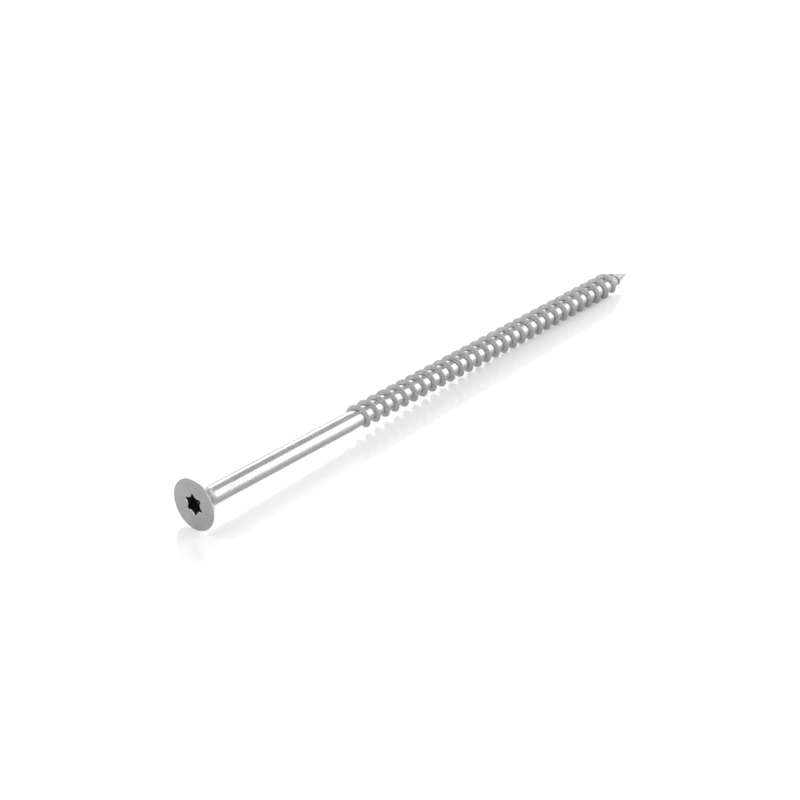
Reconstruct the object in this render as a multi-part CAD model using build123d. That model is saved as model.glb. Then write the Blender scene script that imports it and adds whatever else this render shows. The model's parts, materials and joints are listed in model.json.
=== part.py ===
from build123d import *
import math
import os

# Chipboard screw 5 x 120 mm with a countersunk head and a six-lobe recess.
# One piece of cold-headed, thread-rolled steel wire, in millimetres.
# It is modelled along +X, from the middle of the head face to the tip, and then
# tipped nose down about Y, as it lies on a level floor on its head rim and thread.

# Head
screw_length = 120.0            # from the head face to the tip
head_diameter = 9.6
rim_land = 0.12                 # upright edge between the head face and the countersink
countersink_angle = 90.0        # included
neck_radius = 2.6               # hollow blend from the countersink to the shank

# Six-lobe recess, size 20
recess_across_lobes = 3.95
recess_across_flats = 2.85
lobe_tip_radius = 0.305
recess_wall_depth = 2.1
recess_floor_angle = 118.0      # included angle of the punched floor
recess_turn = 19.6              # of one lobe, from +Y towards +Z

# Shank and core
shank_diameter = 3.5
core_diameter = 3.3
shoulder_length = 0.3           # taper from the shank down to the core

# Thread, right hand, single start
thread_diameter = 4.85
thread_pitch = 2.577
thread_length = 80.65           # from where the thread rises to the tip
thread_angle = 40.0             # included angle of the flanks
thread_turn = 271.1             # where the thread rises, from +Y towards +Z
run_in_turns = 0.25             # the thread grows to full height over this
run_out_turns = 0.25            # and dies away over this
root_sink = 0.12                # how far the ridge reaches into the core

# Point
point_angle = 31.0              # included angle of the bare cone
crest_point_angle = 37.5        # included angle of the cone that the crests follow
bare_point = 3.0                # length of the tip with no thread

spans_per_turn = 28             # how finely the helical edges are fitted

head_radius = head_diameter / 2
shank_radius = shank_diameter / 2
core_radius = core_diameter / 2
thread_radius = thread_diameter / 2
thread_start = screw_length - thread_length
thread_end = screw_length - bare_point


def around(x, radius, turn):
    """Point at a radius from the X axis, at a turn in degrees from +Y towards +Z."""
    angle = math.radians(turn)
    return Vector(x, radius * math.cos(angle), radius * math.sin(angle))


def blank():
    """Head, neck, shank, core and point, turned about the X axis."""
    slope = math.radians(countersink_angle / 2)
    blend_rise = neck_radius * (1 - math.cos(slope))
    blend_start = rim_land + (head_radius - shank_radius - blend_rise) / math.tan(slope)
    point_start = screw_length - core_radius / math.tan(math.radians(point_angle / 2))

    head = Polyline(
        (0, 0),
        (0, head_radius),
        (rim_land, head_radius),
        (blend_start, shank_radius + blend_rise),
    )
    neck = JernArc(head @ 1, head % 1, neck_radius, countersink_angle / 2)
    stem = Polyline(
        neck @ 1,
        (thread_start - shoulder_length, shank_radius),
        (thread_start, core_radius),
        (point_start, core_radius),
        (screw_length, 0),
        (0, 0),
    )
    return revolve(make_face(head + neck + stem), Axis.X)


def six_lobe_outline():
    """Six small outward lobes joined by six larger hollows, all tangent, in the YZ plane."""
    lobe_centre = recess_across_lobes / 2 - lobe_tip_radius
    flat = recess_across_flats / 2
    step = math.cos(math.radians(30))
    hollow_radius = (
        lobe_tip_radius**2 - lobe_centre**2 - flat**2 + 2 * lobe_centre * flat * step
    ) / (2 * (flat - lobe_centre * step - lobe_tip_radius))
    share = lobe_tip_radius / (lobe_tip_radius + hollow_radius)

    arcs = []
    for lobe in range(6):
        turn = recess_turn + 60 * lobe
        centre = around(0, lobe_centre, turn)
        before = centre + (around(0, flat + hollow_radius, turn - 30) - centre) * share
        after = centre + (around(0, flat + hollow_radius, turn + 30) - centre) * share
        next_centre = around(0, lobe_centre, turn + 60)
        next_before = next_centre + (around(0, flat + hollow_radius, turn + 30) - next_centre) * share
        arcs.append(ThreePointArc(before, around(0, lobe_centre + lobe_tip_radius, turn), after))
        arcs.append(ThreePointArc(after, around(0, flat, turn + 30), next_before))
    return Face(Wire(arcs))


def recess():
    """Six-lobe walls, ended by the cone that the punch leaves."""
    lobe_reach = recess_across_lobes / 2
    floor_depth = lobe_reach / math.tan(math.radians(recess_floor_angle / 2))
    walls = extrude(six_lobe_outline(), recess_wall_depth + floor_depth, dir=(1, 0, 0))
    floor = Polyline(
        (0, 0),
        (0, lobe_reach),
        (recess_wall_depth, lobe_reach),
        (recess_wall_depth + floor_depth, 0),
        (0, 0),
    )
    return walls & revolve(make_face(floor), Axis.X)


def core_radius_at(x):
    return min(core_radius, (screw_length - x) * math.tan(math.radians(point_angle / 2)))


def crest_radius_at(x):
    """Full thread, then the point's cone, sunk into the core at both ends."""
    on_point = (screw_length - x) * math.tan(math.radians(crest_point_angle / 2))
    risen = (x - thread_start) / (run_in_turns * thread_pitch)
    left = (thread_end - x) / (run_out_turns * thread_pitch)
    ramp = math.sin(math.pi / 2 * max(0, min(1, risen, left)))
    sunk = core_radius_at(x) - root_sink / 2
    return sunk + (min(thread_radius, on_point) - sunk) * ramp


def ridge_edge(first, last, side):
    """One helical edge of a stretch of the ridge: its head-side foot (-1), crest (0) or tip-side foot (1)."""
    spans = math.ceil((last - first) / thread_pitch * spans_per_turn)
    points = []
    for i in range(spans + 1):
        x = first + (last - first) * i / spans
        turn = thread_turn + 360 * (x - thread_start) / thread_pitch
        crest = crest_radius_at(x)
        foot = core_radius_at(x) - root_sink
        half_width = (crest - foot) * math.tan(math.radians(thread_angle / 2))
        points.append(around(x + side * half_width, foot if side else crest, turn))
    return Edge.make_spline(points, parameters=[i / spans for i in range(spans + 1)])


def thread():
    """The ridge in stretches of up to a turn: two flanks and a hidden foot, ruled between helical edges."""
    count = math.ceil((thread_end - thread_start) / thread_pitch)
    stations = [thread_start + (thread_end - thread_start) * i / count for i in range(count + 1)]
    stretches = [
        [ridge_edge(first, last, side) for side in (-1, 0, 1)]
        for first, last in zip(stations, stations[1:])
    ]
    faces = [
        Face.make_surface_from_curves(edge, neighbour)
        for edges in stretches
        for edge, neighbour in zip(edges, edges[1:] + edges[:1])
    ]
    faces.append(Face(Wire.make_polygon([edge @ 0 for edge in stretches[0]])))
    faces.append(Face(Wire.make_polygon([edge @ 1 for edge in stretches[-1]])))
    return Solid(Shell(faces))


def last_floor_crest():
    """Where the full thread last passes straight under the axis."""
    first = thread_start + thread_pitch * ((270 - thread_turn) % 360) / 360
    full_end = screw_length - thread_radius / math.tan(math.radians(crest_point_angle / 2))
    return first + thread_pitch * math.floor((full_end - first) / thread_pitch)


def at_rest(screw):
    """Nose down, so that the rim and the last full crest stand on one level floor."""
    tilt = math.degrees(math.atan((head_radius - thread_radius) / (last_floor_crest() - rim_land)))
    print("rest tilt, degrees:", round(tilt, 4))
    return Rot(0, tilt, 0) * screw


screw = at_rest(blank() - recess() + thread())

os.makedirs("parts", exist_ok=True)
export_step(screw, "parts/screw.step")
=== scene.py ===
import json
import math

import bpy
from mathutils import Matrix, Quaternion, Vector


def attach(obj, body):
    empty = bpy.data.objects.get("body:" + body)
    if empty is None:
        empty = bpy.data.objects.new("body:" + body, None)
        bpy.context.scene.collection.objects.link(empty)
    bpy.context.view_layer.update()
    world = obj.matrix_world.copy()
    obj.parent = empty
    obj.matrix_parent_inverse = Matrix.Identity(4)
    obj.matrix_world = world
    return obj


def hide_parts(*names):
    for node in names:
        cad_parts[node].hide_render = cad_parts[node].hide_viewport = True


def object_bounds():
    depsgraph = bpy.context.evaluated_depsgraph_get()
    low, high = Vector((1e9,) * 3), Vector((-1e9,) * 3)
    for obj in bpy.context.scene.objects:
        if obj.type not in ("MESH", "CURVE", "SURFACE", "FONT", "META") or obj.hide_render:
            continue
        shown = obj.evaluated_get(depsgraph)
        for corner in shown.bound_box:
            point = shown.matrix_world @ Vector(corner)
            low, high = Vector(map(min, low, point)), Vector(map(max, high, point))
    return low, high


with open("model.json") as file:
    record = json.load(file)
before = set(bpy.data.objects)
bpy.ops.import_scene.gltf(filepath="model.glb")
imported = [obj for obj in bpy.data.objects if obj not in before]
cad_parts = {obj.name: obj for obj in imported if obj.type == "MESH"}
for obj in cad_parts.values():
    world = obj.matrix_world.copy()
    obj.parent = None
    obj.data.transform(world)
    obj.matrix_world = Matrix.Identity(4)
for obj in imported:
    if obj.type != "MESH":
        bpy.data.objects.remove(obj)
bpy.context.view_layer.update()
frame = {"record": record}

mm = 0.001
mathNode = "ShaderNodeMath"
driveMount = next(m for m in frame["record"]["mounts"] if m["name"] == "drive")
screwAxis = -Vector(driveMount["axis"]).normalized()  # from the head to the tip
noseDown = math.atan2(-screwAxis.z, screwAxis.x)


def hexToLinear(code):
    # The sRGB curve
    channels = [int(code[i:i + 2], 16) / 255 for i in (1, 3, 5)]
    linear = [c / 12.92 if c <= 0.04045 else ((c + 0.055) / 1.055) ** 2.4 for c in channels]
    return (*linear, 1.0)


def addNode(tree, kind, inputs=None, **settings):
    node = tree.nodes.new(kind)
    for name, value in settings.items():
        setattr(node, name, value)
    for key, value in (inputs or {}).items():
        if isinstance(value, bpy.types.NodeSocket):
            tree.links.new(value, node.inputs[key])
        else:
            node.inputs[key].default_value = value
    return node


# The screw in millimetres and degrees, along +X from the middle of the head face
blankSizes = {
    "columns": 144,           # of points round the screw, a multiple of twice the lobes
    "length": 120.0,
    "headDiameter": 9.6,
    "rimLand": 0.12,          # upright edge of the head
    "countersinkAngle": 90.0,
    "neckRadius": 2.6,        # hollow blend from the countersink to the shank
    "shankDiameter": 3.5,
    "coreDiameter": 3.3,
    "shoulder": 0.9,          # length of the step from the shank to the core
    "shoulderRound": 3.0,
    "pointAngle": 31.0,
    "edgeRound": 0.02,        # on the head's rim
    "tipRound": 0.03,
    "roundStep": 7.5,         # degrees between the rings of a round
    "faceRings": (0.35, 0.7, 1),  # shares of the way from the recess to the rim
    "shankRings": 8,
    "tipRings": 4,
    "support": 0.04,          # from a round to the next ring, so that it shades crisply
}
recessSizes = {
    "lobes": 6,
    "acrossLobes": 3.95,
    "acrossFlats": 2.85,
    "lobeRadius": 0.305,
    "wallDepth": 2.1,
    "floorAngle": 118.0,
    "floorRings": (0.3, 0.65, 0.95, 1),  # shares of the way from the middle of the floor to the walls
    "mouth": 0.08,            # chamfer
    "turn": 19.6,             # of one lobe, from +Y towards +Z
}
threadSizes = {
    "diameter": 4.85,
    "pitch": 2.577,
    "length": 80.65,          # from where it rises to the tip
    "flankAngle": 40.0,
    "startTurn": 271.1,       # where it rises, from +Y towards +Z
    "runIn": 0.25,            # turns
    "runOut": 0.25,
    "spareTurns": 0.5,        # how far the strip that carries it goes on at both ends
    "barePoint": 3.0,
    "crestAngle": 37.5,       # of the cone that the crests follow on the point
    "crestRound": 0.035,
    "crestSteps": 2,          # on each side
    "rootRound": 0.12,
    "rootSteps": 3,
    "rolledFrom": 0.2,        # height above the core from which the rolled finish is full
    "weld": 0.0004,
    "sharpFrom": 38.0,        # degrees between faces that make an edge sharp
}


def arcSteps():
    return blankSizes["columns"] // (2 * recessSizes["lobes"])


def outlineArc(distance, turn, radius, facing, span):
    # Points on an arc whose centre stands at a distance and a turn from the axis
    steps = arcSteps()
    points = []
    for j in range(steps):
        angle = facing + span * (2 * j / steps - 1)
        points.append((
            distance * math.cos(turn) + radius * math.cos(angle),
            distance * math.sin(turn) + radius * math.sin(angle),
        ))
    return points


def lobeOutline(grow):
    # Lobes and hollows as tangent arcs, with the same number of points on each
    lobes, lobe = recessSizes["lobes"], recessSizes["lobeRadius"]
    centre = recessSizes["acrossLobes"] / 2 - lobe
    flat = recessSizes["acrossFlats"] / 2
    halfStep = math.pi / lobes
    lean = math.cos(halfStep)
    hollow = (lobe**2 - centre**2 - flat**2 + 2 * centre * flat * lean) / (2 * (flat - centre * lean - lobe))
    apart = flat + hollow
    lobeSpan = math.atan2(apart * math.sin(halfStep), apart * lean - centre)
    hollowSpan = lobeSpan - halfStep
    points = []
    for i in range(lobes):
        turn = math.radians(recessSizes["turn"]) + 2 * halfStep * i
        middle = turn + halfStep
        points += outlineArc(centre, turn, lobe + grow, turn, lobeSpan)
        points += outlineArc(apart, middle, hollow - grow, middle + math.pi, -hollowSpan)
    return points


def ringAngle(column):
    # The lobe's arc starts half its points before the lobe's own turn
    step = 2 * math.pi / blankSizes["columns"]
    return math.radians(recessSizes["turn"]) + (column - arcSteps() / 2) * step


def ring(x, radius):
    return [
        (x, radius * math.cos(ringAngle(k)), radius * math.sin(ringAngle(k)))
        for k in range(blankSizes["columns"])
    ]


def roundedCorner(x, radius, before, after, size):
    # Rings on a small arc that turns from one direction to the next, in degrees in the (x, radius) plane
    first, last = math.radians(before), math.radians(after)
    reach = size * math.tan(abs(first - last) / 2)
    side = math.copysign(1, last - first)
    centreX = x - reach * math.cos(first) - side * size * math.sin(first)
    centreR = radius - reach * math.sin(first) + side * size * math.cos(first)
    count = max(2, round(abs(after - before) / blankSizes["roundStep"]))
    rings = []
    for i in range(count + 1):
        heading = first + (last - first) * i / count
        rings.append(ring(
            centreX + side * size * math.sin(heading),
            centreR - side * size * math.cos(heading),
        ))
    return rings


def recessRings():
    # From the middle of the floor up to the top of the walls, then the chamfer and a ring round it
    depth, mouth, support = recessSizes["wallDepth"], recessSizes["mouth"], blankSizes["support"]
    slope = math.tan(math.radians(recessSizes["floorAngle"] / 2))
    bottom = depth + recessSizes["acrossLobes"] / 2 / slope
    outline = lobeOutline(0)
    punched = [[(bottom, 0, 0)]]
    for share in recessSizes["floorRings"]:
        punched.append([
            (bottom - math.hypot(y, z) * share / slope, y * share, z * share)
            for y, z in outline
        ])
    punched.append([(bottom - math.hypot(y, z) / slope - support, y, z) for y, z in outline])
    for x in (depth / 2, mouth + support, mouth):
        punched.append([(x, y, z) for y, z in outline])
    chamfer = [[(0, y, z) for y, z in lobeOutline(grow)] for grow in (mouth, mouth + support)]
    return punched, chamfer


def headRings(innerRing):
    headRadius, land = blankSizes["headDiameter"] / 2, blankSizes["rimLand"]
    edgeRound, support = blankSizes["edgeRound"], blankSizes["support"]
    shankRadius, neckRadius = blankSizes["shankDiameter"] / 2, blankSizes["neckRadius"]
    slope = blankSizes["countersinkAngle"] / 2
    fall = math.tan(math.radians(slope))
    neck = land + (headRadius - shankRadius) / fall  # where the cone would meet the shank
    belowRim = 3 * support

    edge = ring(0, headRadius - edgeRound - support)
    rings = []
    for share in blankSizes["faceRings"]:
        rings.append([
            tuple(a + (b - a) * share for a, b in zip(inner, outer))
            for inner, outer in zip(innerRing, edge)
        ])
    rings += roundedCorner(0, headRadius, 90, 0, edgeRound)
    rings += roundedCorner(land, headRadius, 0, -slope, edgeRound / 2)
    rings.append(ring(land + belowRim, headRadius - belowRim * fall))
    rings += roundedCorner(neck, shankRadius, -slope, 0, neckRadius)
    neckEnd = neck + neckRadius * math.tan(math.radians(slope / 2))
    return rings, neckEnd


def stemRings(neckEnd):
    shankRadius, coreRadius = blankSizes["shankDiameter"] / 2, blankSizes["coreDiameter"] / 2
    start = blankSizes["length"] - threadSizes["length"]
    shoulder = start - blankSizes["shoulder"]
    slope = math.atan((shankRadius - coreRadius) / blankSizes["shoulder"])
    shankEnd = shoulder - blankSizes["shoulderRound"] * math.tan(slope / 2)
    spans = blankSizes["shankRings"] + 1
    rings = [ring(neckEnd + (shankEnd - neckEnd) * i / spans, shankRadius) for i in range(1, spans)]
    rings += roundedCorner(shoulder, shankRadius, 0, -math.degrees(slope), blankSizes["shoulderRound"])
    rings.append(ring(start, coreRadius))
    return rings


def pointRings():
    length, tip, steps = blankSizes["length"], blankSizes["tipRound"], blankSizes["tipRings"]
    half = math.radians(blankSizes["pointAngle"] / 2)
    start = length - threadSizes["barePoint"]
    centre = length - tip / math.sin(half)           # of the rounded tip
    rings = [ring(x, (length - x) * math.tan(half)) for x in (start, (start + centre) / 2)]
    for i in range(steps):
        angle = half + (math.pi / 2 - half) * i / steps
        rings.append(ring(centre + tip * math.sin(angle), tip * math.cos(angle)))
    rings.append([(centre + tip, 0, 0)])
    return rings


def joinRings(vertices, faces, rings):
    # Quads between neighbouring rings, and triangles to a ring of a single point
    first = len(vertices)
    starts = []
    for points in rings:
        starts.append(first)
        vertices += [Vector(p) * mm for p in points]
        first += len(points)
    columns = blankSizes["columns"]
    for i in range(len(rings) - 1):
        for k in range(columns):
            after = (k + 1) % columns
            here, there = starts[i], starts[i + 1]
            if len(rings[i]) == 1:
                faces.append((here, there + after, there + k))
            elif len(rings[i + 1]) == 1:
                faces.append((here + k, here + after, there))
            else:
                faces.append((here + k, here + after, there + after, there + k))


def makeBlank():
    # Open along the thread, where the strip that carries the ridge closes it
    punched, chamfer = recessRings()
    head, neckEnd = headRings(chamfer[-1])
    vertices, faces = [], []
    joinRings(vertices, faces, punched + chamfer + head + stemRings(neckEnd))
    joinRings(vertices, faces, pointRings())
    mesh = bpy.data.meshes.new("screwBlank")
    mesh.from_pydata(vertices, [], faces)
    # Marks the recess's faces, which take the plate whose dark colour is painted shade
    mark = mesh.attributes.new("punched", "BOOLEAN", "FACE")
    punchedFaces = (len(punched) - 1) * blankSizes["columns"]
    for i, item in enumerate(mark.data):
        item.value = i < punchedFaces
    screw = bpy.data.objects.new("screw_body", mesh)
    bpy.context.scene.collection.objects.link(screw)
    return screw


def makeThreadSection():
    # The section across the ridge: x along the screw, y above the core. The first and last points lie on
    # the core, half a pitch away in z, which is in pitches because it isn't scaled with the ridge.
    half = math.radians(threadSizes["flankAngle"] / 2)
    lean = math.pi / 2 - half
    height = (threadSizes["diameter"] - blankSizes["coreDiameter"]) / 2
    crest, crestSteps = threadSizes["crestRound"], threadSizes["crestSteps"]
    root, rootSteps = threadSizes["rootRound"], threadSizes["rootSteps"]
    apex = height + crest * (1 / math.sin(half) - 1)
    rootCentre = apex * math.tan(half) + root * math.tan(lean / 2)
    flank = [(-rootCentre - blankSizes["support"], 0)]
    for i in range(rootSteps + 1):
        angle = lean * i / rootSteps
        flank.append((-rootCentre + root * math.sin(angle), root * (1 - math.cos(angle))))
    for i in range(crestSteps + 1):
        angle = lean * (1 - i / crestSteps)
        flank.append((-crest * math.sin(angle), height - crest * (1 - math.cos(angle))))
    ridge = flank + [(-x, y) for x, y in reversed(flank[:-1])]
    points = [Vector((0, 0, -0.5)), *(Vector((x, y, 0)) * mm for x, y in ridge), Vector((0, 0, 0.5))]
    mesh = bpy.data.meshes.new("threadSection")
    mesh.from_pydata(points, [(i, i + 1) for i in range(len(points) - 1)], [])
    section = bpy.data.objects.new("threadSection", mesh)
    bpy.context.scene.collection.objects.link(section)
    return section


threadInputs = {
    "NodeSocketGeometry": ("Blank",),
    "NodeSocketObject": ("Section",),
    "NodeSocketInt": ("Section Points", "Columns", "Columns Per Turn"),
    "NodeSocketFloat": (
        "First Turn", "Start Turn", "Pitch", "Start", "End", "Length", "Thread Radius", "Core Radius",
        "Point Slope", "Crest Slope", "Run In", "Run Out", "Rolled From", "Weld", "Sharp From", "Nose Down",
    ),
    "NodeSocketMaterial": ("Plate", "Recess Shade Plate"),
}


def addRidgeScale(tree, given, turned, ridge):
    # The ridge's height at a place along the screw, as a share of the full height
    toTip = addNode(tree, mathNode, {0: given["Length"], 1: ridge}, operation="SUBTRACT").outputs[0]
    coreCone = addNode(tree, mathNode, {0: toTip, 1: given["Point Slope"]}, operation="MULTIPLY").outputs[0]
    core = addNode(tree, mathNode, {0: coreCone, 1: given["Core Radius"]}, operation="MINIMUM").outputs[0]
    crestCone = addNode(tree, mathNode, {
        0: toTip, 1: given["Crest Slope"],
    }, operation="MULTIPLY").outputs[0]
    crest = addNode(tree, mathNode, {
        0: crestCone, 1: given["Thread Radius"],
    }, operation="MINIMUM").outputs[0]
    height = addNode(tree, mathNode, {0: crest, 1: core}, operation="SUBTRACT").outputs[0]
    fullHeight = addNode(tree, mathNode, {
        0: given["Thread Radius"], 1: given["Core Radius"],
    }, operation="SUBTRACT").outputs[0]

    # It rises and dies away over its first and last part of a turn
    risen = addNode(tree, mathNode, {0: turned, 1: given["Run In"]}, operation="DIVIDE").outputs[0]
    toEnd = addNode(tree, mathNode, {0: given["End"], 1: ridge}, operation="SUBTRACT").outputs[0]
    turnsLeft = addNode(tree, mathNode, {0: toEnd, 1: given["Pitch"]}, operation="DIVIDE").outputs[0]
    left = addNode(tree, mathNode, {0: turnsLeft, 1: given["Run Out"]}, operation="DIVIDE").outputs[0]
    ends = addNode(tree, mathNode, {0: risen, 1: left}, operation="MINIMUM", use_clamp=True).outputs[0]
    quarter = addNode(tree, mathNode, {0: ends, 1: math.pi / 2}, operation="MULTIPLY").outputs[0]
    ramp = addNode(tree, mathNode, {0: quarter}, operation="SINE").outputs[0]
    ramped = addNode(tree, mathNode, {0: height, 1: ramp}, operation="MULTIPLY").outputs[0]
    return addNode(tree, mathNode, {0: ramped, 1: fullHeight}, operation="DIVIDE").outputs[0]


def addStrip(tree, given):
    # One column of points for each step round the helix, one row for each point of the section
    grid = addNode(tree, "GeometryNodeMeshGrid", {
        "Vertices X": given["Columns"], "Vertices Y": given["Section Points"],
    })
    index = addNode(tree, "GeometryNodeInputIndex").outputs[0]
    share = addNode(tree, mathNode, {0: index, 1: given["Section Points"]}, operation="DIVIDE").outputs[0]
    column = addNode(tree, mathNode, {0: share}, operation="FLOOR").outputs[0]
    row = addNode(tree, mathNode, {0: index, 1: given["Section Points"]}, operation="MODULO").outputs[0]
    steps = addNode(tree, mathNode, {
        0: column, 1: given["Columns Per Turn"],
    }, operation="DIVIDE").outputs[0]
    turn = addNode(tree, mathNode, {0: steps, 1: given["First Turn"]}, operation="ADD").outputs[0]
    angle = addNode(tree, mathNode, {0: turn, 1: 2 * math.pi}, operation="MULTIPLY").outputs[0]
    turned = addNode(tree, mathNode, {0: turn, 1: given["Start Turn"]}, operation="SUBTRACT").outputs[0]
    ridge = addNode(tree, mathNode, {
        0: turned, 1: given["Pitch"], 2: given["Start"],
    }, operation="MULTIPLY_ADD").outputs[0]
    scale = addRidgeScale(tree, given, turned, ridge)

    # The section's point, scaled by that share and set on the core at its own place along the screw
    section = addNode(tree, "GeometryNodeObjectInfo", {"Object": given["Section"]})
    sampled = addNode(tree, "GeometryNodeSampleIndex", {
        "Geometry": section.outputs["Geometry"],
        "Value": addNode(tree, "GeometryNodeInputPosition").outputs[0],
        "Index": row,
    }, data_type="FLOAT_VECTOR")
    point = addNode(tree, "ShaderNodeSeparateXYZ", {0: sampled.outputs[0]}).outputs
    along = addNode(tree, mathNode, {0: point[0], 1: scale, 2: ridge}, operation="MULTIPLY_ADD").outputs[0]
    apart = addNode(tree, mathNode, {
        0: point[2], 1: given["Pitch"], 2: along,
    }, operation="MULTIPLY_ADD").outputs[0]
    x = addNode(tree, "ShaderNodeClamp", {0: apart, 1: given["Start"], 2: given["End"]}).outputs[0]
    toTip = addNode(tree, mathNode, {0: given["Length"], 1: x}, operation="SUBTRACT").outputs[0]
    cone = addNode(tree, mathNode, {0: toTip, 1: given["Point Slope"]}, operation="MULTIPLY").outputs[0]
    core = addNode(tree, mathNode, {0: cone, 1: given["Core Radius"]}, operation="MINIMUM").outputs[0]
    radius = addNode(tree, mathNode, {0: point[1], 1: scale, 2: core}, operation="MULTIPLY_ADD").outputs[0]
    cosine = addNode(tree, mathNode, {0: angle}, operation="COSINE").outputs[0]
    sine = addNode(tree, mathNode, {0: angle}, operation="SINE").outputs[0]
    y = addNode(tree, mathNode, {0: radius, 1: cosine}, operation="MULTIPLY").outputs[0]
    z = addNode(tree, mathNode, {0: radius, 1: sine}, operation="MULTIPLY").outputs[0]
    place = addNode(tree, "ShaderNodeCombineXYZ", {0: x, 1: y, 2: z}).outputs[0]
    strip = addNode(tree, "GeometryNodeSetPosition", {"Geometry": grid.outputs["Mesh"], "Position": place})

    # How far the rolled finish has come on: 0 on the core, and 1 from a given height up
    above = addNode(tree, mathNode, {0: point[1], 1: scale}, operation="MULTIPLY").outputs[0]
    rolled = addNode(tree, "ShaderNodeMapRange", {
        "Value": above, "From Max": given["Rolled From"],
    }).outputs[0]
    return addNode(tree, "GeometryNodeStoreNamedAttribute", {
        "Geometry": strip.outputs[0], "Name": "rolled", "Value": rolled,
    }, domain="POINT").outputs[0]


def addSkin(tree, given, strip):
    # Blank and thread become one closed skin, smooth but for its sharp edges, laid nose down and plated
    joined = addNode(tree, "GeometryNodeJoinGeometry")
    tree.links.new(given["Blank"], joined.inputs[0])
    tree.links.new(strip, joined.inputs[0])
    welded = addNode(tree, "GeometryNodeMergeByDistance", {
        "Geometry": joined.outputs[0], "Distance": given["Weld"],
    })
    bend = addNode(tree, "GeometryNodeInputMeshEdgeAngle").outputs["Unsigned Angle"]
    gentle = addNode(tree, "FunctionNodeCompare", {
        0: bend, 1: given["Sharp From"],
    }, operation="LESS_THAN").outputs[0]
    smooth = addNode(tree, "GeometryNodeSetShadeSmooth", {"Geometry": welded.outputs[0]}, domain="FACE")
    creased = addNode(tree, "GeometryNodeSetShadeSmooth", {
        "Geometry": smooth.outputs[0], "Shade Smooth": gentle,
    }, domain="EDGE")
    tilt = addNode(tree, "ShaderNodeCombineXYZ", {1: given["Nose Down"]}).outputs[0]
    laid = addNode(tree, "GeometryNodeTransform", {"Geometry": creased.outputs[0], "Rotation": tilt})
    real = addNode(tree, "GeometryNodeRealizeInstances", {"Geometry": laid.outputs[0]})
    plated = addNode(tree, "GeometryNodeSetMaterial", {
        "Geometry": real.outputs[0], "Material": given["Plate"],
    })
    # The recess's faces take the plate whose dark colour is painted shade
    punched = addNode(tree, "GeometryNodeInputNamedAttribute", {"Name": "punched"}, data_type="BOOLEAN")
    return addNode(tree, "GeometryNodeSetMaterial", {
        "Geometry": plated.outputs[0], "Material": given["Recess Shade Plate"],
        "Selection": punched.outputs["Attribute"],
    }).outputs[0]


def makeThreadTree():
    # Sweeps the section along the helix and joins it to the blank
    tree = bpy.data.node_groups.new("rolledThread", "GeometryNodeTree")
    for kind, names in threadInputs.items():
        for name in names:
            tree.interface.new_socket(name, in_out="INPUT", socket_type=kind)
    tree.interface.new_socket("Screw", in_out="OUTPUT", socket_type="NodeSocketGeometry")
    given = addNode(tree, "NodeGroupInput").outputs
    strip = addStrip(tree, given)
    addNode(tree, "NodeGroupOutput", {0: addSkin(tree, given, strip)})
    return tree


def threadValues(section, plate, shadedRecessPlate):
    perTurn, spare = blankSizes["columns"], threadSizes["spareTurns"]
    start = blankSizes["length"] - threadSizes["length"]
    end = blankSizes["length"] - threadSizes["barePoint"]
    startTurn = threadSizes["startTurn"] / 360
    turns = (end - start) / threadSizes["pitch"]
    # Columns stand at the blank's own angles
    firstColumn = math.floor((startTurn - spare - ringAngle(0) / (2 * math.pi)) * perTurn)
    firstTurn = ringAngle(firstColumn) / (2 * math.pi)
    return {
        "Section": section,
        "Section Points": len(section.data.vertices),
        "Columns": math.ceil((startTurn + turns + spare - firstTurn) * perTurn) + 1,
        "Columns Per Turn": perTurn,
        "First Turn": firstTurn,
        "Start Turn": startTurn,
        "Pitch": threadSizes["pitch"] * mm,
        "Start": start * mm,
        "End": end * mm,
        "Length": blankSizes["length"] * mm,
        "Thread Radius": threadSizes["diameter"] / 2 * mm,
        "Core Radius": blankSizes["coreDiameter"] / 2 * mm,
        "Point Slope": math.tan(math.radians(blankSizes["pointAngle"] / 2)),
        "Crest Slope": math.tan(math.radians(threadSizes["crestAngle"] / 2)),
        "Run In": threadSizes["runIn"],
        "Run Out": threadSizes["runOut"],
        "Rolled From": threadSizes["rolledFrom"] * mm,
        "Weld": threadSizes["weld"] * mm,
        "Sharp From": math.radians(threadSizes["sharpFrom"]),
        "Nose Down": noseDown,
        "Plate": plate,
        "Recess Shade Plate": shadedRecessPlate,
    }


def makeScrew(plate, shadedRecessPlate):
    screw = makeBlank()
    section = makeThreadSection()
    tree = makeThreadTree()
    modifier = screw.modifiers.new("rolledThread", "NODES")
    modifier.node_group = tree
    sockets = {s.name: s.identifier for s in tree.interface.items_tree if s.in_out == "INPUT"}
    for name, value in threadValues(section, plate, shadedRecessPlate).items():
        modifier[sockets[name]] = value
    evaluated = screw.evaluated_get(bpy.context.evaluated_depsgraph_get())
    mesh = bpy.data.meshes.new_from_object(evaluated)
    screw.modifiers.remove(modifier)
    screw.data = mesh
    bpy.data.objects.remove(section)
    return screw


# Steel with a bright zinc plate: soft satin reflections over a fine crystalline grain, the wire's drawing
# marks along the axis, and slow changes in brightness where the plate is thicker. Sizes in millimetres.
plateFinish = {
    "dark": "#888888",
    "pale": "#b4b4b4",
    "roughness": 0.19,
    "roughnessSpread": 0.2,   # up to this much more where grain and cloud are both strongest
    "rolledRoughness": 0.14,  # more on the thread's ridge
    "rolledPaintedLift": 0.35,       # and this much nearer to the pale colour, a painted lift for flanks that mirror the shadowed floor
    "grainShare": 0.6,        # of the changes in brightness; the rest are marks and clouds in equal parts
    "grain": 0.24,
    "grainDepth": 0.0012,
    "markWidth": 0.16,
    "markLength": 5.0,
    "markDepth": 0.0012,
    "cloud": 2.4,
}
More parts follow.
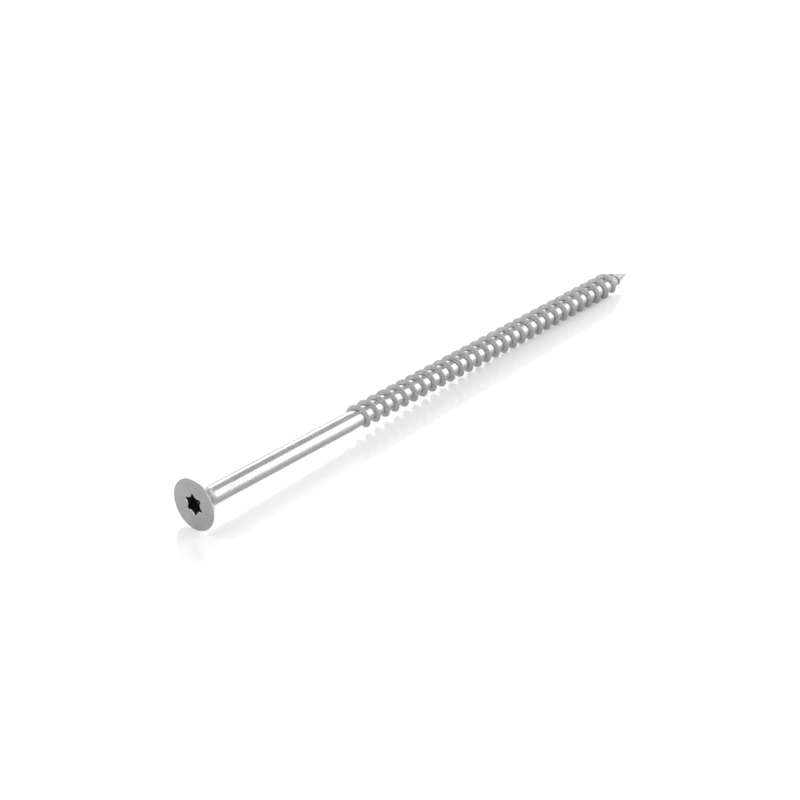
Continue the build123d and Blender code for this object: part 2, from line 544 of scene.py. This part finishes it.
# The same steel on the walls that the punch leaves, dull, with its colour darkened as painted shade for the
# deep recess
recessShadeFinish = {
    "dark": "#383838",
    "pale": "#525252",
    "roughness": 0.5,
    "roughnessSpread": 0.24,
    "rolledRoughness": 0.0,
    "rolledPaintedLift": 0.0,
    "grainShare": 0.4,
    "grain": 0.3,
    "grainDepth": 0.003,
    "markWidth": 0.12,
    "markLength": 1.6,
    "markDepth": 0.003,
    "cloud": 0.8,
}
noiseLow, noiseHigh = 0.3, 0.7  # most of a noise's values lie between these


def addPatterns(tree, finish):
    # Grain, drawing marks and clouds, in millimetres with x along the screw's own axis
    coordinates = addNode(tree, "ShaderNodeTexCoord").outputs["Object"]
    straight = addNode(tree, "ShaderNodeMapping", {
        "Vector": coordinates, "Rotation": (0, -noseDown, 0), "Scale": (1 / mm,) * 3,
    }).outputs[0]
    drawn = addNode(tree, "ShaderNodeMapping", {
        "Vector": straight,
        "Scale": (1 / finish["markLength"], 1 / finish["markWidth"], 1 / finish["markWidth"]),
    }).outputs[0]
    grain = addNode(tree, "ShaderNodeTexNoise", {
        "Vector": straight, "Scale": 1 / finish["grain"], "Detail": 3.0,
    }).outputs[0]
    marks = addNode(tree, "ShaderNodeTexNoise", {"Vector": drawn, "Scale": 1.0, "Detail": 2.0}).outputs[0]
    clouds = addNode(tree, "ShaderNodeTexNoise", {
        "Vector": straight, "Scale": 1 / finish["cloud"], "Detail": 2.0,
    }).outputs[0]
    return grain, marks, clouds


def makePlate(name, finish):
    material = bpy.data.materials.new(name)
    material.use_nodes = True
    tree = material.node_tree
    shader = tree.nodes["Principled BSDF"]
    shader.inputs["Metallic"].default_value = 1.0
    grain, marks, clouds = addPatterns(tree, finish)
    speckle, streak, patch = [
        addNode(tree, "ShaderNodeMapRange", {
            "Value": pattern, "From Min": noiseLow, "From Max": noiseHigh,
        }).outputs[0]
        for pattern in (grain, marks, clouds)
    ]
    rolled = addNode(tree, "ShaderNodeAttribute", attribute_name="rolled").outputs["Fac"]

    share = finish["grainShare"]
    broad = addNode(tree, mathNode, {0: streak, 1: patch}, operation="ADD").outputs[0]
    faded = addNode(tree, mathNode, {0: broad, 1: (1 - share) / 2}, operation="MULTIPLY").outputs[0]
    shade = addNode(tree, mathNode, {0: speckle, 1: share, 2: faded}, operation="MULTIPLY_ADD").outputs[0]
    # A painted lift: the ridge is drawn paler where its flanks mirror the shadowed floor
    liftedShade = addNode(tree, mathNode, {
        0: rolled, 1: finish["rolledPaintedLift"], 2: shade,
    }, operation="MULTIPLY_ADD").outputs[0]
    colour = addNode(tree, "ShaderNodeMix", {
        "Factor": liftedShade, "A": hexToLinear(finish["dark"]), "B": hexToLinear(finish["pale"]),
    }, data_type="RGBA")
    tree.links.new(colour.outputs[2], shader.inputs["Base Color"])

    sheen = addNode(tree, mathNode, {0: speckle, 1: patch}, operation="MULTIPLY").outputs[0]
    satin = addNode(tree, mathNode, {
        0: sheen, 1: finish["roughnessSpread"], 2: finish["roughness"],
    }, operation="MULTIPLY_ADD").outputs[0]
    roughness = addNode(tree, mathNode, {
        0: rolled, 1: finish["rolledRoughness"], 2: satin,
    }, operation="MULTIPLY_ADD").outputs[0]
    tree.links.new(roughness, shader.inputs["Roughness"])

    scratched = addNode(tree, "ShaderNodeBump", {
        "Height": marks, "Distance": finish["markDepth"] * mm, "Strength": 1.0,
    }).outputs[0]
    grained = addNode(tree, "ShaderNodeBump", {
        "Height": grain, "Distance": finish["grainDepth"] * mm, "Strength": 1.0, "Normal": scratched,
    }).outputs[0]
    tree.links.new(grained, shader.inputs["Normal"])
    return material


zincPlate = makePlate("zincPlate", plateFinish)
# The recess's plate is darkened as painted shade for the deep recess
paintedShadePlate = makePlate("paintedShadeZincPlate", recessShadeFinish)
print("materials made")
screw = makeScrew(zincPlate, paintedShadePlate)
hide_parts("screw")
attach(screw, "root")
print("screw made:", sum(len(p.vertices) - 2 for p in screw.data.polygons), "triangles")


# The camera's turn in degrees, and the middle of the head face in its view: right, down and forward, in
# head radii of so many millimetres
cameraSettings = {
    "azimuth": -48.11,
    "elevation": 30.4,
    "lens": 108.0,
    "headInView": (-7.2086, 3.6624, 83.8197),
    "headRadius": 4.8046,
    "clipStart": 0.01,        # metres
}


def makeCamera():
    azimuth = math.radians(cameraSettings["azimuth"])
    elevation = math.radians(cameraSettings["elevation"])
    right = Vector((math.cos(azimuth), math.sin(azimuth), 0))
    forward = Vector((
        -math.sin(azimuth) * math.cos(elevation),
        math.cos(azimuth) * math.cos(elevation),
        -math.sin(elevation),
    ))
    up = right.cross(forward)
    x, y, z = (v * cameraSettings["headRadius"] * mm for v in cameraSettings["headInView"])
    data = bpy.data.cameras.new("camera")
    data.lens = cameraSettings["lens"]
    data.clip_start = cameraSettings["clipStart"]
    camera = bpy.data.objects.new("camera", data)
    camera.matrix_world = Matrix((
        (*right, 0), (*up, 0), (*(-forward), 0), (0, 0, 0, 1),
    )).transposed()
    camera.location = -(right * x - up * y + forward * z)
    bpy.context.scene.collection.objects.link(camera)
    bpy.context.scene.camera = camera


# Softboxes: the direction from the screw's middle, the turn about it in degrees, sizes in metres, and the
# brightness, where 1 is the white of the world. The front and rear ones are turned so that their height
# goes round the screw.
softboxes = {
    "frontSoftbox": {
        "towards": (0.69, -0.64, 0.34), "turn": -20, "width": 0.41, "height": 0.92, "brightness": 2.7,
    },
    "rearSoftbox": {
        "towards": (0.669, 0.612, 0.421), "turn": 25, "width": 0.42, "height": 0.57, "brightness": 2.6,
    },
    "tipSoftbox": {
        "towards": (0.97, -0.1, 0.18), "turn": 0, "width": 0.9, "height": 0.5, "brightness": 1.0,
    },
    "headSoftbox": {
        "towards": (-0.73, -0.53, 0.44), "turn": 0, "width": 0.55, "height": 0.5, "brightness": 2.2,
    },
    "sideSoftbox": {
        "towards": (-0.5, 0.67, 0.54), "turn": 0, "width": 0.35, "height": 0.45, "brightness": 1.8,
    },
    "topSoftbox": {
        "towards": (-0.04, -0.22, 0.97), "turn": 0, "width": 0.4, "height": 0.3, "brightness": 2.6,
    },
}
studio = {
    "middle": (0.06, 0, 0),
    "softboxDistance": 1.0,
    "floorSize": 8.0,
    "floorColour": "#f9f9f9",
    "floorRoughness": 0.12,   # a gloss that mirrors the front softbox up under the shank
    "floorLift": 0.12,        # added to the floor where it is seen, directly or in the metal
    "fill": 0.6,              # the world's light on the floor, where 1 would light it fully by itself
}


def seenRays(tree):
    # 1 where the camera sees a surface, directly or in a reflection, and 0 where it only gives light
    rays = addNode(tree, "ShaderNodeLightPath").outputs
    seen = addNode(tree, mathNode, {
        0: rays["Is Camera Ray"], 1: rays["Is Glossy Ray"],
    }, operation="MAXIMUM").outputs[0]
    return addNode(tree, mathNode, {
        0: seen, 1: rays["Is Transmission Ray"],
    }, operation="MAXIMUM").outputs[0]


def makeFloor():
    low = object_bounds()[0]
    bpy.ops.mesh.primitive_plane_add(size=studio["floorSize"], location=(studio["middle"][0], 0, low[2]))
    floor = bpy.context.object
    floor.name = "floor"
    material = bpy.data.materials.new("paleFloor")
    material.use_nodes = True
    tree = material.node_tree
    shader = tree.nodes["Principled BSDF"]
    shader.inputs["Base Color"].default_value = hexToLinear(studio["floorColour"])
    shader.inputs["Roughness"].default_value = studio["floorRoughness"]
    shader.inputs["Emission Color"].default_value = (1, 1, 1, 1)
    glow = addNode(tree, mathNode, {0: seenRays(tree), 1: studio["floorLift"]}, operation="MULTIPLY")
    tree.links.new(glow.outputs[0], shader.inputs["Emission Strength"])
    floor.data.materials.append(material)


def makeWorld():
    # White to the camera and in the metal's reflections, and the fill as light on the floor
    world = bpy.data.worlds.new("studio")
    bpy.context.scene.world = world
    world.use_nodes = True
    tree = world.node_tree
    strength = addNode(tree, "ShaderNodeMapRange", {
        "Value": seenRays(tree), "To Min": studio["fill"], "To Max": 1.0,
    })
    background = tree.nodes["Background"]
    background.inputs["Color"].default_value = (1, 1, 1, 1)
    tree.links.new(strength.outputs["Result"], background.inputs["Strength"])


def makeSoftboxes():
    for name, box in softboxes.items():
        light = bpy.data.lights.new(name, "AREA")
        light.shape = "RECTANGLE"
        light.size, light.size_y = box["width"], box["height"]
        light.energy = box["brightness"] * math.pi * box["width"] * box["height"]
        holder = bpy.data.objects.new(name, light)
        direction = Vector(box["towards"]).normalized()
        holder.location = Vector(studio["middle"]) + direction * studio["softboxDistance"]
        turn = Quaternion((0, 0, 1), math.radians(box["turn"]))
        holder.rotation_euler = (direction.to_track_quat("Z", "Y") @ turn).to_euler()
        holder.visible_camera = False
        bpy.context.scene.collection.objects.link(holder)


makeCamera()
print("camera made")
makeFloor()
makeWorld()
makeSoftboxes()
bpy.context.scene.view_settings.view_transform = "Standard"
print("studio made:", len(softboxes), "softboxes")
